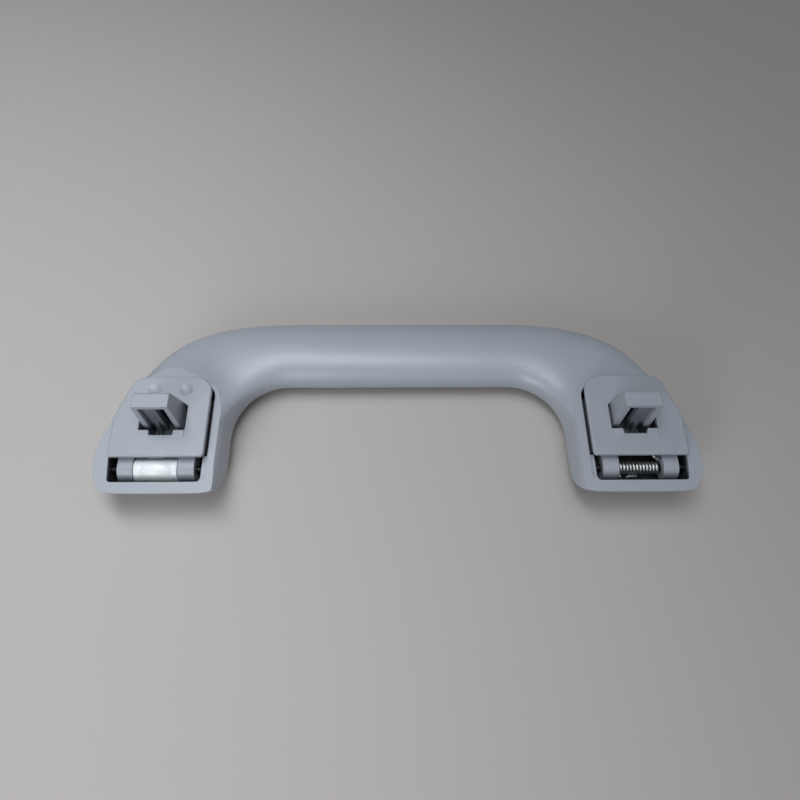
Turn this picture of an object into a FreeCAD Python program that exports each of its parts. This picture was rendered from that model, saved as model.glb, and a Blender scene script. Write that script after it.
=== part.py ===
import FreeCAD, Part
import math
import os

os.makedirs("parts", exist_ok=True)

# A folding roof grab handle, lying on its front with both hinged brackets up.
# X runs along the handle, Y from the hinges to the grip, Z up through the hooks.

# Overall size and levels
LENGTH = 243.6
DEPTH = 83.3
RIM_Z = 20.0
PLATE_Z = 24.0
HOOK_Z = 40.0
HOOK_INSET = 26.8

# Clearances
RUNNING = 0.05
SEAT_GAP = 0.3
SIDE_GAP = 0.6

# Handle body: grip, necks and the flared pods
GRIP_WIDTH = 30.1
GRIP_THICK = 19.0
GRIP_POWER = 2.2
NECK_RADIUS = 24.2
NECK_FLARE = 1.7
NECK_BULGE = 1.5
NECK_FALL = 45
SHOULDER_INSET = 7.4
POD_INNER_REACH = 23.1
POD_LEAN_INNER = 0.21
POD_LEAN_OUTER = 0.10
POD_POWER = 3.2
POD_CROWN_RISE = 4.0
POD_WIDEST_Z = 16.0
POD_WAIST = 9.5
POD_WAIST_START = 17.1
POD_WAIST_RUN = 30.0
NOSE_CORNER_OUTER = 10.0
NOSE_CORNER_RUN = 13.0
NOSE_LIFT = 5.5
NOSE_CORNER_INNER = 4.0
NOSE_RUN = 16.0
NOSE_RISE = 19.0
UNDER_FLAT = 0.12
RING_POINTS = 24
NOSE_TURNS = (0, 14, 30, 50, 72)
POD_SHARES = (0.2, 0.6)
NECK_TURNS = (0, 10, 20, 32, 45, 60, 75, 90)
GRIP_SHARES = (0.8, 0.4)

# Pocket in each pod
POCKET_FLOOR_Z = 8.0
NEAR_WALL = 4.7
WALL_SLOPE_Z = 13.0
WALL_FOOT = 4.0
POCKET_SIDE_GAP = 0.4
POCKET_TAPER = 6.7
POCKET_STRAIGHT = 28.0
BAY_TAPER = 1.0
RIM_WALL = 2.0
POCKET_CORNER = 5.0
BAY_CORNER = 1.5
EAR_STEP = 1.8
EAR_REACH = 4.0
EAR_DROP = 0.6
FLOOR_ROUND = 1.2

# Hinge
HINGE_SETBACK = 11.7
HINGE_Z = 15.0
PIN_D = 3.0
PIN_INSET = 3.2
PIN_SEAT = 2.6
PIN_CHAMFER = 0.3
KNUCKLE_R = 4.7
KNUCKLE_INNER = 6.5
KNUCKLE_OUTER = 6.1
KNUCKLE_INNER_GAP = 4.2
KNUCKLE_OUTER_GAP = 3.5
RELIEF_R = 6.3

# Bracket plate, skirt and underside ribs
PLATE_INNER_REACH = 17.8
PLATE_OUTER_REACH = 20.3
PLATE_TAPER = 6.2
PLATE_SETBACK = 14.0
PLATE_LENGTH = 35.9
PLATE_SIDE = 17.1
PLATE_ROOF = 2.2
PLATE_EDGE_ROUND = 0.6
FLANGE_THICK = 1.6
BODY_INSET = 1.2
CORNER_NEAR = 1.5
CORNER_SIDE = 6.0
CORNER_OUTER = 7.0
CORNER_INNER = 7.5
SKIRT_WALL = 2.0
SKIRT_Z = 13.0
SKIRT_NEAR = 3.5
SKIRT_INSET = 2.3
SKIRT_FAR_INSET = 3.2
SKIRT_SIDE = 13.1
SKIRT_CORNER = 6.0
SKIRT_NEAR_CORNER = 0.6

# Opening and the hook that stands through it
OPENING_INNER_REACH = 9.2
OPENING_OUTER_REACH = 9.5
OPENING_NEAR = 11.3
OPENING_SIDE = 22.1
OPENING_FAR = 25.3
OPENING_CUT = 4.6
OPENING_CORNER = 0.4
NOTCH_WIDTH = 9.0
NOTCH_DEPTH = 2.3
NOTCH_FLARE = 0.6
PAD_LENGTH = 4.2
PAD_DEPTH = 3.4
PAD_RISE = 0.45
PAD_INSET = 0.3
HOOK_BASE = 15.0
HOOK_TOP = 14.1
HOOK_WALL = 1.9
HOOK_NEAR = 13.3
HOOK_ROOF = 6.2
HOOK_FOOT = 26.1
HOOK_SHIFT = 0.45
HOOK_ROUND = 0.5
HOOK_BROW_ROUND = 1.0
HOOK_CORNER_X = 3.2
HOOK_CORNER_Y = 2.9
COLLAR_WALL = 1.6
COLLAR_GAP = 1.0
COLLAR_Z = 15.0
SCOOP_DEEP = 0.5
SCOOP_R = 8.0
SCOOP_SETBACK = 29.6
SCOOP_PLACES = (-7.4, 5.5)

# Lock cap pressed into the bracket from its underside
CAP_THICK = 1.6
CAP_LIP = 1.2
TONGUE_WIDTH = 5.2
TONGUE_THICK = 2.4
TONGUE_GAP = 0.3
TONGUE_SHORT = 3.5
TONGUE_CHAMFER = 0.8
HEEL_REACH = 3.0
HEEL_WIDTH = 1.6
WELD = 0.5

# Barrel damper on the left hinge
DAMPER_R = 4.85
DAMPER_CAP = 2.4
DAMPER_WALL = 1.15
DAMPER_END_GAP = 0.2
DAMPER_ROUND = 0.45
ROTOR_R = 2.6
ROTOR_PADDLE_R = 3.5
ROTOR_PADDLE_GAP = 0.4
SEAL_SIDE = 0.9
LUG_WIDTH = 6.0
LUG_THICK = 1.6
LUG_DROP = 0.6

# Torsion spring on the right hinge
WIRE_D = 1.0
COIL_MEAN_R = 2.12
COIL_TURNS = 12
LEG_REACH = 1.4
LEG_GAP = 0.1
FOOT_RISE = 0.3
FOOT_SLANT = 1.8
TOE_LENGTH = 3.8

# Places worked out from the sizes above
V = FreeCAD.Vector
NEAR_Y = -DEPTH / 2
FAR_Y = DEPTH / 2
HOOK_X = LENGTH / 2 - HOOK_INSET
HINGE_Y = NEAR_Y + HINGE_SETBACK
PLATE_Y = NEAR_Y + PLATE_SETBACK
PLATE_INNER_X = HOOK_X - PLATE_INNER_REACH
PLATE_OUTER_X = HOOK_X + PLATE_OUTER_REACH
PLATE_FAR_X = PLATE_OUTER_X - PLATE_TAPER
OPENING_INNER_X = HOOK_X - OPENING_INNER_REACH
OPENING_OUTER_X = HOOK_X + OPENING_OUTER_REACH
NOTCH_Y = PLATE_Y + OPENING_NEAR - NOTCH_DEPTH
POD_INNER_X = HOOK_X - POD_INNER_REACH
POD_OUTER_X = LENGTH / 2
PIVOT_X = POD_INNER_X - POD_WIDEST_Z / 2 * POD_LEAN_INNER - NECK_RADIUS + NECK_FLARE
PIVOT_Y = FAR_Y - GRIP_WIDTH - NECK_RADIUS
POD_STRAIGHT = PIVOT_Y - NEAR_Y
POCKET_INNER_X = PLATE_INNER_X - SIDE_GAP
POCKET_OUTER_X = PLATE_OUTER_X + POCKET_SIDE_GAP
POCKET_FAR_Y = PLATE_Y + PLATE_LENGTH - SKIRT_FAR_INSET + SIDE_GAP
EAR_X = POCKET_INNER_X + EAR_STEP
EAR_Y = HINGE_Y + EAR_REACH
PIN_START_X = EAR_X - PIN_SEAT
PIN_END_X = POD_OUTER_X - PIN_INSET
KNUCKLE_START = PLATE_INNER_X + KNUCKLE_INNER_GAP
KNUCKLE_END = PLATE_OUTER_X - KNUCKLE_OUTER_GAP
INNER_KNUCKLE_END = KNUCKLE_START + KNUCKLE_INNER
OUTER_KNUCKLE_START = KNUCKLE_END - KNUCKLE_OUTER
SKIRT_INNER_X = PLATE_INNER_X + BODY_INSET
SKIRT_OUTER_X = PLATE_OUTER_X - SKIRT_INSET
FLANGE_Z = PLATE_Z - FLANGE_THICK
CAVITY_TOP_Z = PLATE_Z - PLATE_ROOF
FRAME_X0 = OPENING_INNER_X - COLLAR_GAP
FRAME_X1 = OPENING_OUTER_X + COLLAR_GAP
FRAME_Y0 = NOTCH_Y - COLLAR_GAP
FRAME_Y1 = PLATE_Y + HOOK_FOOT
DAMPER_START = INNER_KNUCKLE_END + DAMPER_END_GAP
DAMPER_END = OUTER_KNUCKLE_START - DAMPER_END_GAP
DAMPER_JOINT = DAMPER_START + DAMPER_CAP


def smooth(t):
    t = min(max(t, 0.0), 1.0)
    return t * t * (3 - 2 * t)


def mix(a, b, t):
    return a + (b - a) * smooth(t)


def quarter(run, radius, travel):
    """How far a quarter ellipse has still to go, radius at travel 0 and 0 at travel run."""
    left = max(run - travel, 0.0) / run
    return radius * (1 - math.sqrt(1 - left * left))


def box(x0, x1, y0, y1, z0, z1):
    return Part.makeBox(x1 - x0, y1 - y0, z1 - z0, V(x0, y0, z0))


def rod(x0, x1, radius, y=HINGE_Y, z=HINGE_Z):
    return Part.makeCylinder(radius, x1 - x0, V(x0, y, z), V(1, 0, 0))


def tube(x0, x1, outer, inner):
    return rod(x0, x1, outer).cut(rod(x0 - 1, x1 + 1, inner))


def outline(corners):
    """A closed face in plan from corners (x, y, rounding radius)."""
    count = len(corners)
    starts = []
    arcs = []
    for i, (x, y, radius) in enumerate(corners):
        here = V(x, y, 0)
        back = (V(*corners[i - 1][:2], 0) - here).normalize()
        ahead = (V(*corners[(i + 1) % count][:2], 0) - here).normalize()
        half = back.getAngle(ahead) / 2
        if radius == 0:
            starts.append((here, here))
            arcs.append(None)
            continue
        reach = radius / math.tan(half)
        middle = here + (back + ahead).normalize() * (radius / math.sin(half) - radius)
        ends = (here + back * reach, here + ahead * reach)
        starts.append(ends)
        arcs.append(Part.Arc(ends[0], middle, ends[1]).toShape())
    edges = []
    for i in range(count):
        if arcs[i]:
            edges.append(arcs[i])
        edges.append(Part.makeLine(starts[i][1], starts[(i + 1) % count][0]))
    return Part.Face(Part.Wire(edges))


def prism(face, z0, z1):
    solid = face.extrude(V(0, 0, z1 - z0))
    solid.translate(V(0, 0, z0))
    return solid


def side_profile(points, x0, x1):
    """A closed profile of (y, z) corners, extruded along X."""
    corners = [V(x0, y, z) for y, z in points]
    face = Part.Face(Part.makePolygon(corners + corners[:1]))
    return face.extrude(V(x1 - x0, 0, 0))


def mirrored(shape):
    return shape.mirror(V(0, 0, 0), V(1, 0, 0))


def save(name, shape):
    shape = shape.removeSplitter()
    if shape.ShapeType != "Solid" and len(shape.Solids) == 1:
        shape = shape.Solids[0]
    shape.exportStep("parts/" + name + ".step")


# Handle body
def bent_power(value, power):
    return math.copysign(abs(value) ** (2 / power), value)


def ring(place, inner, outer, low, widest, crown, power, lean_inner, lean_outer):
    """One closed cross-section of the handle, a curve; place(u, z) puts it in space."""
    points = []
    for i in range(RING_POINTS):
        angle = 2 * math.pi * (i / RING_POINTS + 0.25)
        rise = bent_power(math.sin(angle), power)
        z = widest + rise * (crown - widest if rise > 0 else widest - low + UNDER_FLAT)
        inside = inner + (z - POD_WIDEST_Z) * lean_inner
        outside = outer + (z - POD_WIDEST_Z) * lean_outer
        across = bent_power(math.cos(angle), power)
        points.append(place((inside + outside) / 2 + across * (outside - inside) / 2, z))
    curve = Part.BSplineCurve()
    steps = [i / RING_POINTS for i in range(RING_POINTS + 1)]
    curve.interpolate(Points=points, Parameters=steps, PeriodicFlag=True)
    return curve


def pod_waist(travel):
    """How far the pod's outer side draws in at a distance from the near edge."""
    return POD_WAIST * smooth((travel - POD_WAIST_START) / POD_WAIST_RUN)


def pod_ring(side, travel):
    """Cross-section square to Y, at a distance from the near edge; side is 1 or -1."""
    outer = POD_OUTER_X - quarter(NOSE_CORNER_RUN, NOSE_CORNER_OUTER, travel) - pod_waist(travel)
    inner = POD_INNER_X + quarter(NOSE_CORNER_INNER, NOSE_CORNER_INNER, travel)
    tip = max(1 - travel / NOSE_RUN, 0) ** 2
    return ring(lambda u, z: V(side * u, NEAR_Y + travel, z), inner, outer, NOSE_RISE * tip,
                POD_WIDEST_Z + NOSE_LIFT * tip ** 2, RIM_Z + POD_CROWN_RISE, POD_POWER,
                POD_LEAN_INNER, POD_LEAN_OUTER)


def neck_ring(side, degrees):
    """Cross-section on a plane turned about the neck's inner centre."""
    angle = math.radians(degrees)
    t = degrees / NECK_TURNS[-1]
    shoulder = POD_OUTER_X - SHOULDER_INSET - PIVOT_X
    bulb = (SHOULDER_INSET - pod_waist(POD_STRAIGHT)) * (1 - smooth(degrees / NECK_TURNS[2]))
    outer = mix(shoulder, NECK_RADIUS + GRIP_WIDTH, t) + NECK_BULGE * math.sin(2 * angle) ** 6 + bulb
    fall = min(degrees / NECK_FALL, 1)
    inner = mix(POD_INNER_X - PIVOT_X, NECK_RADIUS, t)
    return ring(lambda u, z: V(side * (PIVOT_X + u * math.cos(angle)), PIVOT_Y + u * math.sin(angle), z),
                inner, outer, 0, mix(POD_WIDEST_Z, GRIP_THICK / 2, t),
                mix(RIM_Z + POD_CROWN_RISE, GRIP_THICK, fall), mix(POD_POWER, GRIP_POWER, t),
                POD_LEAN_INNER * (1 - smooth(t)), POD_LEAN_OUTER * (1 - smooth(t)))


def grip_ring(x):
    """Cross-section of the straight grip, square to X."""
    return ring(lambda u, z: V(x, PIVOT_Y + u, z), NECK_RADIUS, NECK_RADIUS + GRIP_WIDTH,
                0, GRIP_THICK / 2, GRIP_THICK, GRIP_POWER, 0, 0)


def skin(rings):
    """A smooth closed solid through rings that all have the same knots."""
    middles = [sum(r.getPoles(), V()) / r.NbPoles for r in rings]
    steps = [0.0]
    for before, after in zip(middles, middles[1:]):
        steps.append(steps[-1] + (after - before).Length)
    rows = []
    for line in zip(*(r.getPoles() for r in rings)):
        along = Part.BSplineCurve()
        along.interpolate(Points=list(line), Parameters=steps)
        rows.append(along.getPoles())
    around = rings[0]
    surface = Part.BSplineSurface()
    surface.buildFromPolesMultsKnots(rows, around.getMultiplicities(), along.getMultiplicities(),
                                     around.getKnots(), along.getKnots(), True, False,
                                     around.Degree, along.Degree)
    ends = [Part.Face(Part.Wire(r.toShape())) for r in (rings[0], rings[-1])]
    closed = Part.makeCompound([surface.toShape()] + ends)
    closed.sewShape()
    return Part.makeSolid(closed.Shells[0])


def hull():
    """The outside of the handle, skinned from pod to pod, with a narrow flat to lie on."""
    travels = [NOSE_RUN * (1 - math.cos(math.radians(turn))) for turn in NOSE_TURNS]
    travels += [NOSE_RUN + share * (POD_STRAIGHT - NOSE_RUN) for share in POD_SHARES]
    halves = []
    for side in (1, -1):
        half = [pod_ring(side, travel) for travel in travels]
        half += [neck_ring(side, degrees) for degrees in NECK_TURNS]
        halves.append(half + [grip_ring(side * PIVOT_X * share) for share in GRIP_SHARES])
    rings = halves[0] + [grip_ring(0)] + halves[1][::-1]
    return skin(rings).common(box(-LENGTH, LENGTH, -DEPTH, DEPTH, 0, RIM_Z))


def pocket_plan(grow):
    """The pocket in plan, with a narrower bay at the hinge; grow adds a wall round it."""
    wall_y = NEAR_Y + NEAR_WALL
    near_x = POCKET_OUTER_X - BAY_TAPER
    return outline([(EAR_X - grow, wall_y, BAY_CORNER), (near_x + grow, wall_y, BAY_CORNER),
                    (POCKET_OUTER_X + grow, PLATE_Y, BAY_CORNER),
                    (POCKET_OUTER_X + grow, NEAR_Y + POCKET_STRAIGHT, POCKET_CORNER),
                    (POCKET_OUTER_X - POCKET_TAPER + grow, POCKET_FAR_Y + grow, POCKET_CORNER + grow),
                    (POCKET_INNER_X - grow, POCKET_FAR_Y + grow, POCKET_CORNER + grow),
                    (POCKET_INNER_X - grow, EAR_Y, 0), (EAR_X - grow, EAR_Y, 0)])


def pocket():
    """The open space in the right pod, with the ear's lowered top and the hole for the pin."""
    space = prism(pocket_plan(0), POCKET_FLOOR_Z, PLATE_Z)
    wall_y = NEAR_Y + NEAR_WALL
    slope = side_profile([(NEAR_Y, WALL_SLOPE_Z), (wall_y, WALL_SLOPE_Z),
                          (wall_y + WALL_FOOT, POCKET_FLOOR_Z), (NEAR_Y, POCKET_FLOOR_Z)], 0, LENGTH)
    space = space.cut(slope)
    floor_edges = [e for e in space.Edges if e.BoundBox.ZMax < POCKET_FLOOR_Z + RUNNING]
    space = space.makeFillet(FLOOR_ROUND, floor_edges)
    ear_top = box(POCKET_INNER_X, EAR_X, wall_y + BAY_CORNER, EAR_Y, RIM_Z - EAR_DROP, PLATE_Z)
    pin_hole = rod(PIN_START_X, LENGTH, PIN_D / 2)
    return space.fuse(ear_top).fuse(pin_hole)


def grip_handle():
    lip = prism(pocket_plan(RIM_WALL), POCKET_FLOOR_Z, RIM_Z)
    lip = lip.common(box(0, HOOK_X, HINGE_Y, FAR_Y, 0, PLATE_Z))
    right = pocket()
    return hull().fuse([lip, mirrored(lip)]).cut(right).cut(mirrored(right))


# Brackets
def plate_plan():
    far_y = PLATE_Y + PLATE_LENGTH
    return outline([(PLATE_INNER_X, PLATE_Y, CORNER_NEAR), (PLATE_OUTER_X, PLATE_Y, CORNER_NEAR),
                    (PLATE_OUTER_X, PLATE_Y + PLATE_SIDE, CORNER_SIDE),
                    (PLATE_FAR_X, far_y, CORNER_OUTER), (PLATE_INNER_X, far_y, CORNER_INNER)])


def skirt_plan(inset):
    near_y = PLATE_Y + SKIRT_NEAR + inset
    far_y = PLATE_Y + PLATE_LENGTH - SKIRT_FAR_INSET - inset
    inner = SKIRT_INNER_X + inset
    outer = SKIRT_OUTER_X - inset
    corner = SKIRT_CORNER - inset
    return outline([(inner, near_y, SKIRT_NEAR_CORNER), (outer, near_y, SKIRT_NEAR_CORNER),
                    (outer, PLATE_Y + SKIRT_SIDE, corner),
                    (PLATE_FAR_X - SKIRT_INSET - inset, far_y, corner), (inner, far_y, corner)])


def knuckle(x0, x1):
    """A hinge eye with the web that joins it to the skirt."""
    back = PLATE_Y + SKIRT_NEAR + SKIRT_WALL
    lip = PLATE_Y + CORNER_NEAR
    top = FLANGE_Z + WELD
    web = side_profile([(HINGE_Y, HINGE_Z - KNUCKLE_R), (back, SKIRT_Z), (back, top), (lip, top),
                        (lip, HINGE_Z + KNUCKLE_R), (HINGE_Y, HINGE_Z + KNUCKLE_R)], x0, x1)
    return web.fuse(rod(x0, x1, KNUCKLE_R))


def opening():
    """The T-shaped opening round the hook, with its side slots cut off aslant."""
    near = PLATE_Y + OPENING_NEAR
    side = PLATE_Y + OPENING_SIDE
    far = PLATE_Y + OPENING_FAR
    mid = (OPENING_INNER_X + OPENING_OUTER_X) / 2
    half = NOTCH_WIDTH / 2
    small = OPENING_CORNER
    plan = outline([(OPENING_INNER_X, near, small), (mid - half - NOTCH_FLARE, near, 0),
                    (mid - half, NOTCH_Y, small), (mid + half, NOTCH_Y, small),
                    (mid + half + NOTCH_FLARE, near, 0), (OPENING_OUTER_X, near, small),
                    (OPENING_OUTER_X, side, small), (OPENING_OUTER_X - OPENING_CUT, far, small),
                    (OPENING_INNER_X + OPENING_CUT, far, small), (OPENING_INNER_X, side, small)])
    return prism(plan, SKIRT_Z, PLATE_Z + PLATE_ROOF)


def hook(hook_x):
    """The box-shaped hook: two tapering cheeks, a roof and a sloping back, open towards the hinge."""
    near = PLATE_Y + HOOK_NEAR
    foot = PLATE_Y + HOOK_FOOT
    body = side_profile([(near, COLLAR_Z), (near, HOOK_Z), (near + HOOK_ROOF, HOOK_Z), (foot, PLATE_Z),
                         (foot, COLLAR_Z)], hook_x - HOOK_BASE, hook_x + HOOK_BASE)
    brow = [e for e in body.Edges if e.BoundBox.ZMin > HOOK_Z - RUNNING and e.BoundBox.YMin > near + RUNNING]
    body = body.makeFillet(HOOK_BROW_ROUND, brow)
    high = HOOK_TOP / 2
    low = HOOK_BASE / 2 + (HOOK_BASE - HOOK_TOP) / 2 * (PLATE_Z - COLLAR_Z) / (HOOK_Z - PLATE_Z)
    front = near - HOOK_WALL
    taper = [V(hook_x - low, front, COLLAR_Z), V(hook_x + low, front, COLLAR_Z),
             V(hook_x + high, front, HOOK_Z), V(hook_x - high, front, HOOK_Z)]
    envelope = Part.Face(Part.makePolygon(taper + taper[:1])).extrude(V(0, HOOK_FOOT, 0))
    ridges = [e for e in envelope.Edges
              if e.BoundBox.ZMin > HOOK_Z - RUNNING and e.BoundBox.YLength > HOOK_ROOF]
    body = body.common(envelope.makeFillet(HOOK_ROUND, ridges))
    roof_y = near + HOOK_ROOF
    for side in (1, -1):
        top = V(hook_x + side * high, roof_y, HOOK_Z)
        feet = (V(hook_x + side * HOOK_BASE / 2, foot - HOOK_CORNER_Y, PLATE_Z),
                V(hook_x + side * (HOOK_BASE / 2 - HOOK_CORNER_X), foot, PLATE_Z))
        reach = (HOOK_Z - COLLAR_Z + WELD) / (HOOK_Z - PLATE_Z)
        facet = Part.makePolygon([top] + [top + (corner - top) * reach for corner in feet] + [top])
        body = body.cut(Part.Face(facet).extrude(V(side * HOOK_BASE, HOOK_BASE, 0)))
    slope = math.atan2(HOOK_FOOT - HOOK_NEAR - HOOK_ROOF, HOOK_Z - PLATE_Z)
    back = HOOK_WALL / math.cos(slope)
    under = HOOK_Z - HOOK_WALL
    brow_y = near + HOOK_ROOF - back + HOOK_WALL * math.tan(slope)
    hollow = side_profile([(front, COLLAR_Z - WELD), (front, under), (brow_y, under),
                           (foot - back, PLATE_Z), (foot - back, COLLAR_Z - WELD)],
                          hook_x - high + HOOK_WALL, hook_x + high - HOOK_WALL)
    return body.cut(hollow)


def shoulder_pads():
    """Two low wedge-shaped pads on the plate beside the notch."""
    near = PLATE_Y + OPENING_NEAR
    section = [(near - PAD_DEPTH, PLATE_Z - WELD), (near - PAD_DEPTH, PLATE_Z),
               (near - PAD_INSET, PLATE_Z + PAD_RISE), (near, PLATE_Z), (near, PLATE_Z - WELD)]
    starts = (OPENING_INNER_X + PAD_INSET, OPENING_OUTER_X - PAD_INSET - PAD_LENGTH)
    return [side_profile(section, x0, x0 + PAD_LENGTH) for x0 in starts]


def collar():
    """The rib frame under the plate that guides the lock cap, with one cross rib each side."""
    frame = box(FRAME_X0 - COLLAR_WALL, FRAME_X1 + COLLAR_WALL, FRAME_Y0 - COLLAR_WALL,
                FRAME_Y1 + COLLAR_WALL, COLLAR_Z, CAVITY_TOP_Z + WELD)
    mid_y = (FRAME_Y0 + FRAME_Y1) / 2
    ribs = box(SKIRT_INNER_X + SKIRT_WALL / 2, SKIRT_OUTER_X - SKIRT_WALL / 2, mid_y, mid_y + COLLAR_WALL,
               COLLAR_Z, CAVITY_TOP_Z + WELD)
    space = box(FRAME_X0, FRAME_X1, FRAME_Y0, FRAME_Y1, COLLAR_Z, CAVITY_TOP_Z)
    return frame.fuse(ribs).cut(space)


def bracket(shift, scoops):
    """The right-hand bracket; shift moves its hook along X inside the opening."""
    plate = prism(plate_plan(), FLANGE_Z, PLATE_Z)
    rim = [e for e in plate.Edges if e.BoundBox.ZMin > PLATE_Z - RUNNING]
    plate = plate.makeFillet(PLATE_EDGE_ROUND, rim)
    body = plate.fuse(prism(skirt_plan(0), SKIRT_Z, FLANGE_Z + WELD))
    body = body.cut(prism(skirt_plan(SKIRT_WALL), SKIRT_Z, CAVITY_TOP_Z))
    body = body.fuse([collar()] + shoulder_pads())
    body = body.cut(opening())
    body = body.fuse([hook(HOOK_X + shift), knuckle(KNUCKLE_START, INNER_KNUCKLE_END),
                      knuckle(OUTER_KNUCKLE_START, KNUCKLE_END)])
    relief = rod(POCKET_INNER_X, EAR_X + SIDE_GAP, RELIEF_R)
    body = body.cut(relief.common(box(0, LENGTH, -DEPTH, DEPTH, 0, RIM_Z + SEAT_GAP)))
    body = body.cut(rod(POCKET_INNER_X, POCKET_OUTER_X, PIN_D / 2 + RUNNING))
    for place in scoops:
        centre = V(HOOK_X + place, PLATE_Y + SCOOP_SETBACK, PLATE_Z + SCOOP_R - SCOOP_DEEP)
        body = body.cut(Part.makeSphere(SCOOP_R, centre))
    return body


def lock_cap(shift):
    """The cap under the plate, with the tongue that fills one side of the hook."""
    cover = box(FRAME_X0 - CAP_LIP, FRAME_X1 + CAP_LIP, FRAME_Y0 - CAP_LIP, FRAME_Y1 + CAP_LIP,
                COLLAR_Z - CAP_THICK, COLLAR_Z)
    upright = [e for e in cover.Edges if e.BoundBox.ZLength > CAP_THICK / 2]
    cover = cover.makeFillet(CAP_LIP, upright)
    cover = cover.common(prism(skirt_plan(SKIRT_WALL + SEAT_GAP), SKIRT_Z, COLLAR_Z))
    cheek = HOOK_X + shift + HOOK_TOP / 2 - HOOK_WALL - TONGUE_GAP
    front = PLATE_Y + HOOK_NEAR + HOOK_WALL
    tongue = box(cheek - TONGUE_WIDTH, cheek, front, front + TONGUE_THICK, COLLAR_Z - WELD,
                 HOOK_Z - TONGUE_SHORT)
    tip = [e for e in tongue.Edges if e.BoundBox.ZMin > HOOK_Z - TONGUE_SHORT - RUNNING
           and e.BoundBox.XLength > TONGUE_WIDTH / 2]
    tongue = tongue.makeChamfer(TONGUE_CHAMFER, tip)
    middle = cheek - TONGUE_WIDTH / 2
    heel = side_profile([(front, COLLAR_Z - WELD), (front, PLATE_Z), (front - HEEL_REACH, COLLAR_Z - WELD)],
                        middle - HEEL_WIDTH / 2, middle + HEEL_WIDTH / 2)
    return cover.fuse([tongue, heel])


# Hinge pins
def hinge_pin():
    pin = rod(PIN_START_X, PIN_END_X, PIN_D / 2)
    return pin.makeChamfer(PIN_CHAMFER, [e for e in pin.Edges if e.BoundBox.XLength < RUNNING])


# Damper parts, on the right-hand side here and mirrored when written
def rounded_end(body, x):
    """Rounds the rim of a round body's end face at x."""
    rim = [e for e in body.Edges if abs(e.BoundBox.XMin - x) < RUNNING and e.BoundBox.XLength < RUNNING]
    return body.makeFillet(DAMPER_ROUND, rim)


def damper_housing():
    bore = DAMPER_R - DAMPER_WALL
    body = rounded_end(rod(DAMPER_JOINT, DAMPER_END, DAMPER_R), DAMPER_END)
    mid = (DAMPER_JOINT + DAMPER_END) / 2
    lug_top = HINGE_Z + DAMPER_R - LUG_DROP
    body = body.fuse(box(mid - LUG_WIDTH / 2, mid + LUG_WIDTH / 2, HINGE_Y, PLATE_Y + SKIRT_NEAR,
                         lug_top - LUG_THICK, lug_top))
    body = body.cut(rod(DAMPER_JOINT, DAMPER_END - DAMPER_WALL, bore))
    return body.cut(rod(DAMPER_JOINT, DAMPER_END, ROTOR_R + RUNNING))


def damper_end_cap():
    body = rounded_end(rod(DAMPER_START, DAMPER_JOINT, DAMPER_R), DAMPER_START)
    groove = rod(DAMPER_JOINT - SEAL_SIDE, DAMPER_JOINT, ROTOR_R + SEAL_SIDE)
    return body.cut(rod(DAMPER_START, DAMPER_JOINT, ROTOR_R + RUNNING)).cut(groove)


def damper_rotor():
    shaft = rod(DAMPER_START, DAMPER_END, ROTOR_R)
    paddle = rod(DAMPER_JOINT + ROTOR_PADDLE_GAP, DAMPER_END - DAMPER_WALL - ROTOR_PADDLE_GAP, ROTOR_PADDLE_R)
    return shaft.fuse(paddle).cut(rod(DAMPER_START, DAMPER_END, PIN_D / 2))


def damper_seal():
    """A square-section sealing ring in the end cap's groove."""
    return tube(DAMPER_JOINT - SEAL_SIDE, DAMPER_JOINT, ROTOR_R + SEAL_SIDE, ROTOR_R)


# Torsion spring
def straight(start, end):
    ball = Part.makeSphere(WIRE_D / 2, end)
    return Part.makeCylinder(WIRE_D / 2, (end - start).Length, start, end - start).fuse(ball)


def wire_section():
    """The wire's section, eight-sided, where the coil starts."""
    corners = [math.radians(45 * (i + 0.5)) for i in range(9)]
    return Part.makePolygon([V(COIL_MEAN_R + WIRE_D / 2 * math.cos(a), 0, WIRE_D / 2 * math.sin(a))
                             for a in corners])


def torsion_spring():
    """Close-wound coil with one leg up the bracket's lip and one foot along the pocket wall."""
    first_x = INNER_KNUCKLE_END + WIRE_D
    last_x = OUTER_KNUCKLE_START - WIRE_D
    helix = Part.makeHelix((last_x - first_x) / COIL_TURNS, last_x - first_x, COIL_MEAN_R)
    coil = Part.Wire(helix).makePipeShell([wire_section()], True, True)
    coil.Placement = FreeCAD.Placement(V(first_x, HINGE_Y, HINGE_Z),
                                       FreeCAD.Rotation(V(0, 1, 0), V(0, 0, 1), V(1, 0, 0), "XYZ"))
    bend = V(last_x, HINGE_Y + COIL_MEAN_R, HINGE_Z)
    leg = straight(bend, V(last_x, PLATE_Y - WIRE_D / 2 - LEG_GAP, PLATE_Z - LEG_REACH))
    wall_y = NEAR_Y + NEAR_WALL + WIRE_D / 2 + RUNNING
    knee = V(first_x + FOOT_SLANT, wall_y, HINGE_Z - COIL_MEAN_R + FOOT_RISE)
    foot = straight(V(first_x, HINGE_Y, HINGE_Z - COIL_MEAN_R), knee)
    toe = straight(knee, knee + V(TOE_LENGTH, 0, 0))
    return coil.fuse([leg, foot, toe])


save("grip_handle", grip_handle())
for side, turn, shift, scoops in (("left", mirrored, HOOK_SHIFT, SCOOP_PLACES),
                                  ("right", Part.Shape.copy, -HOOK_SHIFT, ())):
    save(side + "_bracket", turn(bracket(shift, scoops)))
    save(side + "_lock_cap", turn(lock_cap(shift)))
    save(side + "_hinge_pin", turn(hinge_pin()))
save("damper_housing", mirrored(damper_housing()))
save("damper_end_cap", mirrored(damper_end_cap()))
save("damper_rotor", mirrored(damper_rotor()))
save("damper_seal", mirrored(damper_seal()))
save("torsion_spring", torsion_spring())
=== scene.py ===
"""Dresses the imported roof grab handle: finishes, fine detail, light, floor and camera."""

import math

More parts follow.
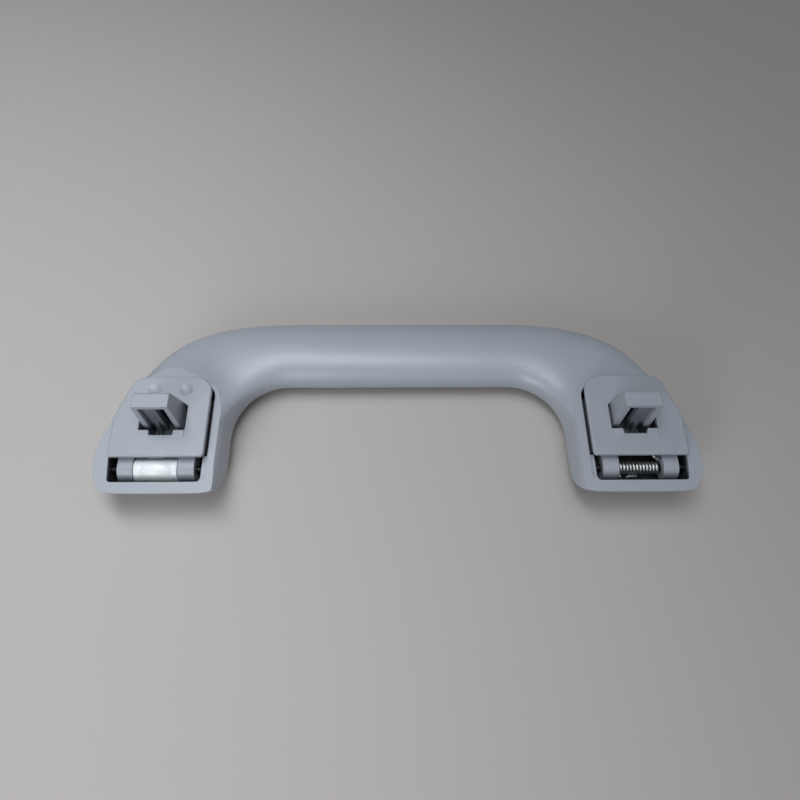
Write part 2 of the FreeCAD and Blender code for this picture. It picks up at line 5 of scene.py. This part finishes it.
import bmesh
import bpy
from mathutils import Euler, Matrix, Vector


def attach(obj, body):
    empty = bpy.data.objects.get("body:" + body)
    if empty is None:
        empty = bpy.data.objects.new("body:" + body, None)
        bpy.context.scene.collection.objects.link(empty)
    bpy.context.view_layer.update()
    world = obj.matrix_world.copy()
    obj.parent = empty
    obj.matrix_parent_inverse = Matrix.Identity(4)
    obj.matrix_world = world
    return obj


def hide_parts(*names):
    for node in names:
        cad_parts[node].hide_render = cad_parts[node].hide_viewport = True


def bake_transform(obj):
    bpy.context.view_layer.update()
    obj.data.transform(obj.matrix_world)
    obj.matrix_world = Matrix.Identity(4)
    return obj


bl_info = {
    "name": "Roof Grab Handle",
    "version": (1, 0, 0),
    "blender": (4, 5, 0),
    "location": "View3D > Sidebar > Grab Handle",
    "description": "Finishes, fine detail and studio for a folding roof grab handle",
    "category": "Object",
}

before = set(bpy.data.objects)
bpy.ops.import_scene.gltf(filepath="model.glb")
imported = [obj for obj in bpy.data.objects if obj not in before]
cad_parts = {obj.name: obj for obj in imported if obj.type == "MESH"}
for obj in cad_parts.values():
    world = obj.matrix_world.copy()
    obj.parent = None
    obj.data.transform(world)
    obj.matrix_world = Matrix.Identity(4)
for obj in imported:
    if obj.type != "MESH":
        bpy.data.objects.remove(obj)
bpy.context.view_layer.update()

MM = 0.001
HINGE_Y = -29.95 * MM
HINGE_Z = 15.0 * MM
PLATE_TOP = 24.0 * MM


def place(name, description, default):
    """A point in the model frame, in metres, written in millimetres."""
    return bpy.props.FloatVectorProperty(name=name, description=description,
                                         default=[value * MM for value in default],
                                         subtype="TRANSLATION", unit="LENGTH", size=3, precision=5)


def coordinate(name, description, default):
    """One coordinate in the model frame, in metres, which may lie below 0."""
    return bpy.props.FloatProperty(name=name, description=description, default=default,
                                   subtype="DISTANCE", unit="LENGTH", precision=5)


def length(name, description, default):
    """A length in metres."""
    return bpy.props.FloatProperty(name=name, description=description, default=default,
                                   subtype="DISTANCE", unit="LENGTH", min=0.0, precision=5)


def number(name, description, default):
    """A plain number above 0."""
    return bpy.props.FloatProperty(name=name, description=description, default=default, min=0.0)


def share(name, description, default):
    """A number from 0 to 1."""
    return bpy.props.FloatProperty(name=name, description=description, default=default,
                                   subtype="FACTOR", min=0.0, max=1.0)


def watts(name, description, default):
    """A lamp's power."""
    return bpy.props.FloatProperty(name=name, description=description, default=default,
                                   subtype="POWER", unit="POWER", min=0.0)


def colour(name, description, default):
    """A linear colour."""
    return bpy.props.FloatVectorProperty(name=name, description=description, default=default,
                                         subtype="COLOR", size=3, min=0.0, max=1.0)


# Settings
class GH_FinishSettings(bpy.types.PropertyGroup):
    handle: colour("Handle", "Moulded plastic of the handle", (0.385, 0.412, 0.466))
    bracket: colour("Bracket", "Moulded plastic of the brackets", (0.362, 0.387, 0.436))
    # The lock caps are the brackets' grey plastic; this darker tone is painted shade for the
    # inside of the hood.
    cap: colour("Lock cap", "Dark plastic of the lock caps", (0.165, 0.178, 0.205))
    damper: colour("Damper", "Milky plastic of the damper", (0.89, 0.94, 0.98))
    rotor: colour("Rotor", "Plastic of the damper's rotor", (0.30, 0.31, 0.33))
    rubber: colour("Rubber", "Rubber of the sealing ring", (0.02, 0.02, 0.02))
    steel: colour("Steel", "Bright drawn steel of the spring", (0.82, 0.83, 0.82))
    pin: colour("Pin", "Blackened steel of the hinge pins", (0.035, 0.036, 0.040))
    roughness: share("Roughness", "Middle roughness of the moulded plastic", 0.33)
    grain: length("Grain", "Spacing of the moulded plastic's fine grain", 0.35 * MM)
    relief: length("Relief", "Height of that grain", 0.018 * MM)
    edge: length("Edge", "Radius that moulded edges seem to have", 0.35 * MM)
    tint: share("Tint", "Most that a cloud lightens or darkens the plastic", 0.045)
    speck: share("Speck", "How much of the light specks on the grain shows", 0.35)


# Settings of the painted shade: a dark tone laid where shade falls in the pockets, under the
# brackets and on the spring's foot. The greasy faces in the descriptions are the faces that get
# this painted shade.
class GH_PaintedShadeSettings(bpy.types.PropertyGroup):
    # Dark colour of the painted shade.
    shade_film: colour("Film", "Colour of the old grease", (0.026, 0.029, 0.034))
    pocket_low: place("Pocket low", "Low corner of the film in the right pocket",
                      (76.0, -37.6, 7.4))
    pocket_high: place("Pocket high", "High corner of the film in the right pocket",
                       (116.3, 6.3, 18.6))
    pocket_middle: place("Pocket middle", "Point that the right pocket's greasy faces look at",
                         (96.0, -15.6, 13.0))
    pocket_soft: length("Pocket edge", "Width of the film's soft edge in a pocket", 1.2 * MM)
    under_near: coordinate("Underside near", "Y where a bracket's film starts", -25.0 * MM)
    under_near_soft: length("Near edge", "Width of the soft edge there", 1.0 * MM)
    under_top: coordinate("Underside top", "Z where a bracket's film ends", 21.4 * MM)
    under_top_soft: length("Top edge", "Width of the soft edge there", 0.6 * MM)
    under_middle: place("Underside middle", "Point that a right bracket's greasy faces look at",
                        (96.0, -40.0, 13.0))
    foot_end: coordinate("Foot end", "X where the film on the spring's foot ends", 92.4 * MM)
    foot_far: coordinate("Foot far", "Y where that film ends towards the coil", -32.9 * MM)
    foot_soft: length("Foot edge", "Width of its soft edge", 0.8 * MM)


class GH_SpringSettings(bpy.types.PropertyGroup):
    wire: length("Wire", "Diameter of the wire", 1.0 * MM)
    coil: length("Coil radius", "Radius of the coil at the middle of the wire", 2.12 * MM)
    start: length("Start", "X of the coil's first turn", 88.9 * MM)
    end: length("End", "X of the coil's last turn", 104.7 * MM)
    turns: bpy.props.IntProperty(name="Turns", description="Turns in the coil", default=12, min=3)
    bend: length("Bend", "How much of a straight run each bend takes", 1.1 * MM)
    leg: place("Leg", "Free end of the leg at the bracket's near edge", (101.0, -28.25, 22.6))
    knee: place("Knee", "Bend of the foot that bears on the pocket's wall", (90.4, -36.3, 13.1))
    toe: place("Toe", "Free end of the foot", (96.2, -32.8, 12.95))
    toe_length: length("Toe length", "Straight run at the foot's free end", 3.8 * MM)


class GH_DamperSettings(bpy.types.PropertyGroup):
    outer_end: length("Outer end", "From the middle to the barrel's outer end", 105.5 * MM)
    inner_end: length("Inner end", "From the middle to the barrel's end at its cap", 90.5 * MM)
    radius: length("Radius", "Radius of the barrel", 4.85 * MM)
    chamfer: length("Chamfer", "Eased edge at the barrel's ends", 0.45 * MM)
    groove: length("Groove", "Depth of the ring round the barrel", 0.12 * MM)
    groove_set: length("Groove place", "From the outer end to that ring", 3.4 * MM)
    lug_width: length("Lug width", "Width of the lug under the plate", 6.0 * MM)
    lug_reach: length("Lug reach", "Reach of the lug from the hinge line", 5.8 * MM)
    lug_top: length("Lug top", "Height of the lug's top over the hinge line", 3.2 * MM)
    lug_thick: length("Lug thickness", "Thickness of the lug", 1.3 * MM)
    lug_edge: length("Lug edge", "Eased edge of the lug", 0.2 * MM)


class GH_MarkSettings(bpy.types.PropertyGroup):
    left: place("Left mark", "Centre of the left plate's mould mark",
                (-106.5, 0.4, PLATE_TOP / MM))
    right: place("Right mark", "Centre of the right plate's mould mark",
                 (79.9, -21.6, PLATE_TOP / MM))
    radius: length("Radius", "Radius of a mould mark", 0.9 * MM)
    raised: length("Raised", "Height of a mould mark's rim over the plate", 0.08 * MM)
    sunk: length("Sunk", "How deep a mould mark sits in the plate", 0.4 * MM)


class GH_StageSettings(bpy.types.PropertyGroup):
    floor: colour("Floor", "Colour of the floor", (0.50, 0.468, 0.445))
    floor_reach: length("Floor reach", "From the middle to the floor's edge", 4.0)
    world: colour("World", "Colour of the light from all round", (0.85, 0.85, 0.88))
    fill: share("Fill", "Strength of the light from all round", 0.16)
    lamps: colour("Lamps", "Colour of the lamps", (0.93, 0.975, 1.0))
    key: watts("Key", "Power of the long lamp over the left end", 0.56)
    key_place: place("Key place", "Where the long lamp hangs", (-170.0, 120.0, 580.0))
    key_aim: place("Key aim", "The point that the long lamp looks at", (-280.0, 20.0, 0.0))
    key_length: length("Key length", "Length of the long lamp, along the grip", 0.55)
    key_width: length("Key width", "Width of the long lamp", 0.16)
    key_spread: bpy.props.FloatProperty(name="Key spread", description="Angle of its beam",
                                        default=1.6, subtype="ANGLE", unit="ROTATION", min=0.0)
    side: watts("Side", "Power of the low lamp to the near left", 1.70)
    side_place: place("Side place", "Where the low lamp stands", (-300.0, -550.0, 280.0))
    side_size: length("Side size", "Side of the low lamp", 0.34)
    top: watts("Top", "Power of the wide lamp straight above", 3.5)
    top_place: place("Top place", "Where the wide lamp hangs", (0.0, -60.0, 1100.0))
    top_size: length("Top size", "Side of the wide lamp", 0.9)
    camera: place("Camera", "Where the camera stands", (-2.72, -131.94, 271.35))
    turn: bpy.props.FloatVectorProperty(name="Camera turn",
                                        description="Camera angles about X, Y and Z",
                                        default=[math.radians(a) for a in (27.48, -0.66, -0.19)],
                                        subtype="EULER", unit="ROTATION", size=3)
    focal: number("Focal length", "Focal length in millimetres", 30.57)
    sensor: number("Sensor", "Width of the sensor in millimetres", 36.0)


# Node graphs
MIDDLE = 0.5  # middle value of a noise


class Wire:
    """A node socket that Python arithmetic turns into Math nodes."""

    def __init__(self, graph, socket):
        self.graph = graph
        self.socket = socket

    def maths(self, operation, *values):
        """One Math node with these values or wires."""
        return self.graph.node("ShaderNodeMath", {"operation": operation},
                               dict(enumerate(values)))

    def __add__(self, other):
        return self.maths("ADD", self, other)

    def __radd__(self, other):
        return self.maths("ADD", other, self)

    def __sub__(self, other):
        return self.maths("SUBTRACT", self, other)

    def __rsub__(self, other):
        return self.maths("SUBTRACT", other, self)

    def __mul__(self, other):
        return self.maths("MULTIPLY", self, other)

    def __rmul__(self, other):
        return self.maths("MULTIPLY", other, self)

    def __truediv__(self, other):
        return self.maths("DIVIDE", self, other)

    def __rtruediv__(self, other):
        return self.maths("DIVIDE", other, self)

    def clamped(self):
        """Held between 0 and 1."""
        return self.maths("MINIMUM", self.maths("MAXIMUM", self, 0.0), 1.0)

    def above(self, edge, width):
        """0 below the edge and 1 above it, with a soft step of that width."""
        return ((self - edge) / width + 0.5).clamped()

    def below(self, edge, width):
        """1 below the edge and 0 above it, with a soft step of that width."""
        return 1 - self.above(edge, width)

    def between(self, low, high):
        """Runs from low to high while this value runs from 0 to 1."""
        return self * (high - low) + low


class Graph:
    """One material's node tree, ending in a Principled shader."""

    def __init__(self, name):
        self.material = bpy.data.materials.new(name)
        if self.material.name != name:
            raise RuntimeError("another material is called " + name)
        self.material.use_nodes = True
        self.tree = self.material.node_tree
        self.tree.nodes.clear()

    def feed(self, socket, value):
        """Links a wire to a socket, or sets the socket's own value."""
        if isinstance(value, Wire):
            self.tree.links.new(value.socket, socket)
        elif socket.type == "RGBA":
            socket.default_value = (*value, 1.0)
        else:
            socket.default_value = value

    def node(self, kind, settings=None, sockets=None, output=0):
        """Adds a node, with its settings first and then its sockets, by name or number, and
        gives one of its outputs."""
        node = self.tree.nodes.new(kind)
        for key, value in (settings or {}).items():
            setattr(node, key, value)
        for key, value in (sockets or {}).items():
            self.feed(node.inputs[key], value)
        return Wire(self, node.outputs[output]) if node.outputs else None

    def point(self):
        """The place on the object, in metres."""
        return self.node("ShaderNodeTexCoord", output="Object")

    def facing(self):
        """The way that the surface faces."""
        return self.node("ShaderNodeTexCoord", output="Normal")

    def axes(self, vector):
        """The three coordinates of a vector."""
        split = self.node("ShaderNodeSeparateXYZ", None, {"Vector": vector}).socket.node
        return [Wire(self, output) for output in split.outputs]

    def stretched(self, vector, factors):
        """A vector with each coordinate times its own factor."""
        return self.node("ShaderNodeVectorMath", {"operation": "MULTIPLY"},
                         {0: vector, 1: factors})

    def noise(self, vector, cells, detail=2.0, roughness=0.5):
        """Smooth noise with that many cells to a metre."""
        return self.node("ShaderNodeTexNoise", None,
                         {"Vector": vector, "Scale": cells, "Detail": detail,
                          "Roughness": roughness}, "Fac")

    def blend(self, factor, low, high):
        """A mix of two colours."""
        return self.node("ShaderNodeMix", {"data_type": "RGBA"}, {0: factor, 6: low, 7: high}, 2)

    def vary(self, factor, base, low, high):
        """A colour that runs from low to high times its base."""
        return self.blend(factor, shade(base, low), shade(base, high))

    def eased(self, radius, samples):
        """Normals that round off the edges."""
        return self.node("ShaderNodeBevel", {"samples": samples}, {"Radius": radius}, "Normal")

    def bump(self, height, distance, strength, normal=None):
        """Normals that show a height, on top of other normals where they are given."""
        sockets = {"Height": height, "Distance": distance, "Strength": strength}
        if normal:
            sockets["Normal"] = normal
        return self.node("ShaderNodeBump", None, sockets, "Normal")

    def finish(self, sockets):
        """Ends the graph in a Principled shader with these sockets."""
        shader = self.node("ShaderNodeBsdfPrincipled", None, sockets)
        self.node("ShaderNodeOutputMaterial", None, {"Surface": shader})


def shade(base, factor):
    """A colour made lighter or darker, and never above 1."""
    return [min(1.0, channel * factor) for channel in base]


# Masks of painted shade, where shade falls in the pockets, under the brackets and on the spring's
# foot
def looks_at(graph, point, target):
    """How far each face looks towards a target, in metres, below 0 where it looks away. The
    target is given for the right end and mirrored for the left one."""
    x, y, z = graph.axes(point)
    face_x, face_y, face_z = graph.axes(graph.facing())
    side = x.maths("SIGN", x)
    return ((side * target[0] - x) * face_x + (target[1] - y) * face_y
            + (target[2] - z) * face_z)


def painted_shade_pocket(graph, point, painted_shade):
    """1 on the walls and floors of the two pockets, under the handle's rim: painted shade where
    shade falls.
    """
    x, y, z = graph.axes(point)
    low, high, soft = painted_shade.pocket_low, painted_shade.pocket_high, painted_shade.pocket_soft
    mask = looks_at(graph, point, painted_shade.pocket_middle).above(0.0, soft)
    for value, start, end in zip((x.maths("ABSOLUTE", x), y, z), low, high):
        mask = mask * value.above(start, soft) * value.below(end, soft)
    return mask


def painted_shade_underside(graph, point, painted_shade):
    """1 inside a bracket, behind its knuckles and under its plate, and on its near wall: painted
    shade where shade falls.
    """
    y, z = graph.axes(point)[1:]
    inward = looks_at(graph, point, painted_shade.under_middle).above(0.0, painted_shade.under_near_soft)
    return (y.above(painted_shade.under_near, painted_shade.under_near_soft)
            * z.below(painted_shade.under_top, painted_shade.under_top_soft) * inward)


def painted_shade_foot(graph, point, painted_shade):
    """1 on the bend of the spring's foot, low in the pocket: painted shade where shade falls."""
    x, y = graph.axes(point)[:2]
    return x.below(painted_shade.foot_end, painted_shade.foot_soft) * y.below(painted_shade.foot_far, painted_shade.foot_soft)


# Finishes, with noise in cells to a metre
def moulded_plastic(name, base, settings, painted_shade, shade_mask):
    """Satin moulded plastic with a fine grain, a faint cloud in its colour and eased edges,
    and a dark painted shade in the places that the mask gives, where shade falls."""
    graph = Graph(name)
    point = graph.point()
    grain = graph.noise(point, 1.0 / settings.grain, detail=3.0, roughness=0.6)
    cloud = graph.noise(point, 38.0, detail=4.0, roughness=0.55)
    fine = graph.noise(point, 420.0, detail=3.0)
    tone = (cloud * 0.7 + fine * 0.3 - MIDDLE) * 1.6 + MIDDLE
    clouded = graph.vary(tone.clamped(), base, 1 - settings.tint, 1 + settings.tint)
    specks = (grain - MIDDLE).above(0.06, 0.10) * settings.speck
    specked = graph.blend(specks, clouded, shade(base, 1.16))
    # Painted shade: the mask darkens these places towards the dark film colour, where shade falls.
    shade_film = shade_mask(graph, point, painted_shade) * (cloud * 0.3 + 0.75)
    roughness = (grain - MIDDLE) * 0.14 + (cloud - MIDDLE) * 0.08 + settings.roughness
    normal = graph.bump(grain + fine * 0.5, settings.relief, 0.75, graph.eased(settings.edge, 6))
    graph.finish({"Base Color": graph.blend(shade_film.clamped(), specked, painted_shade.shade_film),
                  "Roughness": roughness, "Normal": normal, "Specular IOR Level": 0.5})


def dark_plastic(name, base, settings):
    """Dark smooth plastic with a faint flow streak along X."""
    graph = Graph(name)
    point = graph.point()
    flow = graph.noise(graph.stretched(point, (1.0, 0.25, 0.25)), 520.0, detail=3.0)
    pits = graph.noise(point, 1900.0)
    graph.finish({"Base Color": graph.vary(flow, base, 0.80, 1.25),
                  "Roughness": flow.between(0.34, 0.50),
                  "Normal": graph.bump(pits, 0.012 * MM, 0.6, graph.eased(settings.edge, 4))})


def milky_plastic(name, base, cap_x):
    """White translucent plastic, cloudier in the end cap that starts at cap_x."""
    graph = Graph(name)
    point = graph.point()
    cloud = graph.noise(point, 260.0, detail=4.0, roughness=0.6)
    streak = graph.noise(graph.stretched(point, (0.2, 1.0, 1.0)), 700.0)
    cap = graph.axes(point)[0].above(cap_x, 0.5 * MM)
    body = graph.vary(cloud, base, 0.93, 1.07)
    graph.finish({"Base Color": graph.blend(cap * 0.55, body, shade(base, 0.84)),
                  "Roughness": cloud.between(0.24, 0.36),
                  "Normal": graph.bump(cloud + streak * 0.4, 0.02 * MM, 0.5),
                  "Subsurface Weight": 0.35,
                  "Subsurface Radius": (1.2 * MM, 1.1 * MM, 1.0 * MM),
                  "Coat Weight": 0.25, "Coat Roughness": 0.12})


def drawn_steel(name, base, painted_shade, shade_mask=None):
    """Drawn steel with fine lines along X and a slight haze, and a dark painted shade where a
    mask gives it."""
    graph = Graph(name)
    point = graph.point()
    lines = graph.noise(graph.stretched(point, (0.12, 1.0, 1.0)), 5200.0)
    haze = graph.noise(point, 300.0, detail=3.0)
    tint = graph.vary(haze, base, 0.82, 1.08)
    if shade_mask:
        # Painted shade on the spring's foot, low in the pocket where shade falls.
        tint = graph.blend(shade_mask(graph, point, painted_shade) * 0.9, tint, painted_shade.shade_film)
    graph.finish({"Base Color": tint, "Metallic": 1.0,
                  "Roughness": (lines + haze).between(0.30, 0.40),
                  "Normal": graph.bump(lines, 0.008 * MM, 0.5)})


def soft_rubber(name, base):
    """Black rubber with a powdery surface."""
    graph = Graph(name)
    dust = graph.noise(graph.point(), 1500.0, detail=3.0)
    graph.finish({"Base Color": graph.vary(dust, base, 0.8, 2.2),
                  "Roughness": dust.between(0.6, 0.8),
                  "Normal": graph.bump(dust, 0.02 * MM, 0.6)})


def plain_floor(name, base):
    """A matt pale floor, very slightly uneven in tone."""
    graph = Graph(name)
    grit = graph.noise(graph.point(), 90.0, detail=3.0)
    graph.finish({"Base Color": graph.vary(grit, base, 0.985, 1.015),
                  "Roughness": grit.between(0.6, 0.7)})


# Meshes
def mesh_object(name, bm, material, smooth=True):
    """Turns a bmesh into an object that wears a material."""
    bmesh.ops.recalc_face_normals(bm, faces=bm.faces)
    mesh = bpy.data.meshes.new(name)
    bm.to_mesh(mesh)
    bm.free()
    for face in mesh.polygons:
        face.use_smooth = smooth
    mesh.materials.append(bpy.data.materials[material])
    piece = bpy.data.objects.new(name, mesh)
    bpy.context.scene.collection.objects.link(piece)
    return piece


def ring(bm, centre, side, across, radius, count):
    """A ring of points round a centre."""
    points = []
    for k in range(count):
        a = 2 * math.pi * k / count
        points.append(bm.verts.new(centre + (side * math.cos(a) + across * math.sin(a)) * radius))
    return points


def skin(bm, rings):
    """Closed skin over a row of rings."""
    count = len(rings[0])
    for one, two in zip(rings, rings[1:]):
        for k in range(count):
            j = (k + 1) % count
            bm.faces.new((one[k], one[j], two[j], two[k]))
    bm.faces.new(rings[0][::-1])
    bm.faces.new(rings[-1])
    return bm


def wire_tube(path, radius, count=14):
    """A round wire along a path, with domed ends."""
    dome = ((0.0, 1.0), (0.70, 0.72), (0.95, 0.30))
    bm = bmesh.new()
    rings = []
    side = (path[1] - path[0]).orthogonal().normalized()
    last = len(path) - 1
    for i, here in enumerate(path):
        along = (path[min(i + 1, last)] - path[max(i - 1, 0)]).normalized()
        side = (side - along * side.dot(along)).normalized()
        across = along.cross(side)
        steps = dome[:1]
        if i == 0:
            steps = [(-ahead, width) for ahead, width in reversed(dome)]
        elif i == last:
            steps = dome
        for ahead, width in steps:
            rings.append(ring(bm, here + along * radius * ahead, side, across, radius * width,
                              count))
    return skin(bm, rings)


def rounded(corners, trim, steps=6):
    """Points along straight runs, with each corner rounded off by that much of its runs."""
    path = [corners[0]]
    for before, corner, after in zip(corners, corners[1:], corners[2:]):
        start = corner + (before - corner).normalized() * trim
        end = corner + (after - corner).normalized() * trim
        for i in range(steps + 1):
            t = i / steps
            path.append(start.lerp(corner, t).lerp(corner.lerp(end, t), t))
    return path + [corners[-1]]


def lathe(profile, centre, axis, count):
    """A closed round body: profile holds (along, radius) pairs, from end to end."""
    bm = bmesh.new()
    axis = Vector(axis)
    side = axis.orthogonal().normalized()
    across = axis.cross(side)
    return skin(bm, [ring(bm, Vector(centre) + axis * along, side, across, radius, count)
                     for along, radius in profile])


def hang_lamp(name, power, where, aim, size, tone):
    """A square lamp that looks at a point."""
    lamp = bpy.data.lights.new(name, "AREA")
    lamp.energy = power
    lamp.size = size
    lamp.color = tone
    holder = bpy.data.objects.new(name, lamp)
    holder.location = where
    holder.rotation_euler = (Vector(aim) - Vector(where)).to_track_quat("-Z", "Y").to_euler()
    bpy.context.scene.collection.objects.link(holder)
    return lamp


# Operators
class GH_OT_finishes(bpy.types.Operator):
    """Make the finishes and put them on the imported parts"""
    bl_idname = "grab_handle.finishes"
    bl_label = "Finishes"

    def execute(self, context):
        settings = context.scene.gh_finish
        painted_shade = context.scene.gh_grease
        # The masks below lay painted shade on the handle's pockets, the brackets' undersides and
        # the spring's foot.
        moulded_plastic("grained_handle", settings.handle, settings, painted_shade, painted_shade_pocket)
        moulded_plastic("grained_bracket", settings.bracket, settings, painted_shade, painted_shade_underside)
        # Painted shade: the lock caps wear a darker tone for the shade inside the hood.
        dark_plastic("dark_cap", settings.cap, settings)
        milky_plastic("milky_damper", settings.damper, -context.scene.gh_damper.inner_end)
        dark_plastic("grey_rotor", settings.rotor, settings)
        soft_rubber("black_rubber", settings.rubber)
        drawn_steel("bright_steel", settings.steel, painted_shade, painted_shade_foot)
        drawn_steel("black_steel", settings.pin, painted_shade)
        worn_by = {
            "grip_handle": "grained_handle",
            "left_bracket": "grained_bracket",
            "right_bracket": "grained_bracket",
            "left_lock_cap": "dark_cap",
            "right_lock_cap": "dark_cap",
            "left_hinge_pin": "black_steel",
            "right_hinge_pin": "black_steel",
            "damper_housing": "milky_damper",
            "damper_end_cap": "milky_damper",
            "damper_rotor": "grey_rotor",
            "damper_seal": "black_rubber",
        }
        for node, name in worn_by.items():
            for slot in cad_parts[node].material_slots:
                slot.material = bpy.data.materials[name]
        return {"FINISHED"}


class GH_OT_spring(bpy.types.Operator):
    """Wind the round-wire torsion spring of the right hinge"""
    bl_idname = "grab_handle.spring"
    bl_label = "Spring"

    def execute(self, context):
        settings = context.scene.gh_spring
        toe = Vector(settings.toe)
        coil = settings.coil
        bottom = Vector((settings.start, HINGE_Y, HINGE_Z - coil))
        path = rounded([toe, toe - Vector((settings.toe_length, 0, 0)), Vector(settings.knee),
                        bottom], settings.bend)
        per_turn = 28
        lead_in = 6  # steps up from the coil's bottom before it advances along X
        steps = per_turn * settings.turns
        for i in range(-lead_in, steps + 1):
            x = settings.start + (settings.end - settings.start) * max(i, 0) / steps
            angle = 2 * math.pi * i / per_turn
            path.append(Vector((x, HINGE_Y + coil * math.cos(angle),
                                HINGE_Z + coil * math.sin(angle))))
        above = path[-1] + Vector((0, 0, 1.5 * coil))
        path += rounded([path[-1], above, Vector(settings.leg)], settings.bend)[1:]
        piece = mesh_object("spring_wire", wire_tube(path, settings.wire / 2), "bright_steel")
        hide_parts("torsion_spring")
        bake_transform(piece)
        return {"FINISHED"}


class GH_OT_damper(bpy.types.Operator):
    """Make the milky barrel of the left hinge's damper"""
    bl_idname = "grab_handle.damper"
    bl_label = "Damper barrel"

    def execute(self, context):
        settings = context.scene.gh_damper
        r = settings.radius
        run = settings.outer_end - settings.inner_end
        cut = settings.chamfer
        groove = run - settings.groove_set
        dip = settings.groove
        # from the inner end to the outer one, with eased edges and the ring
        profile = [(0.0, 0.6 * r), (0.0, r - 0.4 * cut), (0.3 * cut, r),
                   (groove - 1.5 * dip, r), (groove, r - dip), (groove + 1.5 * dip, r),
                   (run - cut, r), (run - 0.3 * cut, r - 0.3 * cut), (run, r - cut),
                   (run, 0.6 * r)]
        bm = lathe(profile, (-settings.inner_end, HINGE_Y, HINGE_Z), (-1, 0, 0), 64)
        lug = bmesh.ops.create_cube(bm, size=1.0)["verts"]
        deep = settings.lug_reach / 2
        middle = (-(settings.inner_end + settings.outer_end) / 2,
                  HINGE_Y + settings.lug_reach - deep / 2,
                  HINGE_Z + settings.lug_top - settings.lug_thick / 2)
        bmesh.ops.scale(bm, verts=lug, vec=(settings.lug_width, deep, settings.lug_thick))
        bmesh.ops.translate(bm, verts=lug, vec=middle)
        bmesh.ops.bevel(bm, geom=list({edge for vert in lug for edge in vert.link_edges}),
                        offset=settings.lug_edge, segments=2, affect="EDGES")
        piece = mesh_object("damper_barrel", bm, "milky_damper")
        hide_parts("damper_housing")
        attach(piece, "left_bracket")
        return {"FINISHED"}


class GH_OT_marks(bpy.types.Operator):
    """Add the round mould marks on the plates"""
    bl_idname = "grab_handle.marks"
    bl_label = "Mould marks"

    def execute(self, context):
        settings = context.scene.gh_marks
        r = settings.radius
        h = settings.raised
        # from the foot up, over a low rim and down into a shallow dish
        profile = [(-settings.sunk, r), (h * 0.5, r), (h, r * 0.93), (h, r * 0.80),
                   (h * 0.3, r * 0.72), (h * 0.2, r * 0.2)]
        for side, centre in (("left", settings.left), ("right", settings.right)):
            piece = mesh_object(side + "_mark", lathe(profile, centre, (0, 0, 1), 40),
                                "grained_bracket")
            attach(piece, side + "_bracket")
        return {"FINISHED"}


class GH_OT_stage(bpy.types.Operator):
    """Set the floor, the lamps, the world and the camera"""
    bl_idname = "grab_handle.stage"
    bl_label = "Stage"

    def execute(self, context):
        settings = context.scene.gh_stage
        plain_floor("floor", settings.floor)
        bm = bmesh.new()
        bmesh.ops.create_grid(bm, x_segments=1, y_segments=1, size=settings.floor_reach)
        floor = mesh_object("floor", bm, "floor", smooth=False)

        world = bpy.data.worlds.new("world")
        world.use_nodes = True
        background = world.node_tree.nodes["Background"]
        background.inputs["Color"].default_value = (*settings.world, 1.0)
        background.inputs["Strength"].default_value = settings.fill
        context.scene.world = world

        key = hang_lamp("key", settings.key, settings.key_place, settings.key_aim,
                        settings.key_length, settings.lamps)
        key.shape = "RECTANGLE"
        key.size_y = settings.key_width
        key.spread = settings.key_spread
        middle = (0.0, 0.0, 0.0)
        hang_lamp("side", settings.side, settings.side_place, middle, settings.side_size,
                  settings.lamps)
        hang_lamp("top", settings.top, settings.top_place, middle, settings.top_size,
                  settings.lamps)

        lens = bpy.data.cameras.new("camera")
        lens.sensor_width = settings.sensor
        lens.lens = settings.focal
        lens.clip_start = 10 * MM
        camera = bpy.data.objects.new("camera", lens)
        camera.rotation_mode = "ZYX"
        camera.location = settings.camera
        camera.rotation_euler = Euler(settings.turn, "ZYX")
        context.scene.collection.objects.link(camera)
        context.scene.camera = camera
        context.scene.view_settings.view_transform = "Standard"
        return {"FINISHED"}


# Panel
class GH_PT_panel(bpy.types.Panel):
    """Lists the steps that dress the handle, each with its settings"""
    bl_idname = "GH_PT_panel"
    bl_label = "Grab Handle"
    bl_space_type = "VIEW_3D"
    bl_region_type = "UI"
    bl_category = "Grab Handle"

    def draw(self, context):
        for operator, groups in STEPS.items():
            box = self.layout.box()
            box.operator(operator.bl_idname)
            for name in groups:
                settings = getattr(context.scene, name)
                for key in settings.__annotations__:
                    box.prop(settings, key)


SETTINGS = {
    "gh_finish": GH_FinishSettings,
    "gh_grease": GH_PaintedShadeSettings,
    "gh_spring": GH_SpringSettings,
    "gh_damper": GH_DamperSettings,
    "gh_marks": GH_MarkSettings,
    "gh_stage": GH_StageSettings,
}
STEPS = {
    GH_OT_finishes: ("gh_finish", "gh_grease"),
    GH_OT_spring: ("gh_spring",),
    GH_OT_damper: ("gh_damper",),
    GH_OT_marks: ("gh_marks",),
    GH_OT_stage: ("gh_stage",),
}
CLASSES = (*SETTINGS.values(), *STEPS, GH_PT_panel)


def register():
    for cls in CLASSES:
        bpy.utils.register_class(cls)
    for name, cls in SETTINGS.items():
        setattr(bpy.types.Scene, name, bpy.props.PointerProperty(type=cls))


def unregister():
    for name in SETTINGS:
        delattr(bpy.types.Scene, name)
    for cls in reversed(CLASSES):
        bpy.utils.unregister_class(cls)


def main():
    register()
    bpy.ops.grab_handle.finishes()
    bpy.ops.grab_handle.spring()
    bpy.ops.grab_handle.damper()
    bpy.ops.grab_handle.marks()
    bpy.ops.grab_handle.stage()


if __name__ == "__main__":
    main()
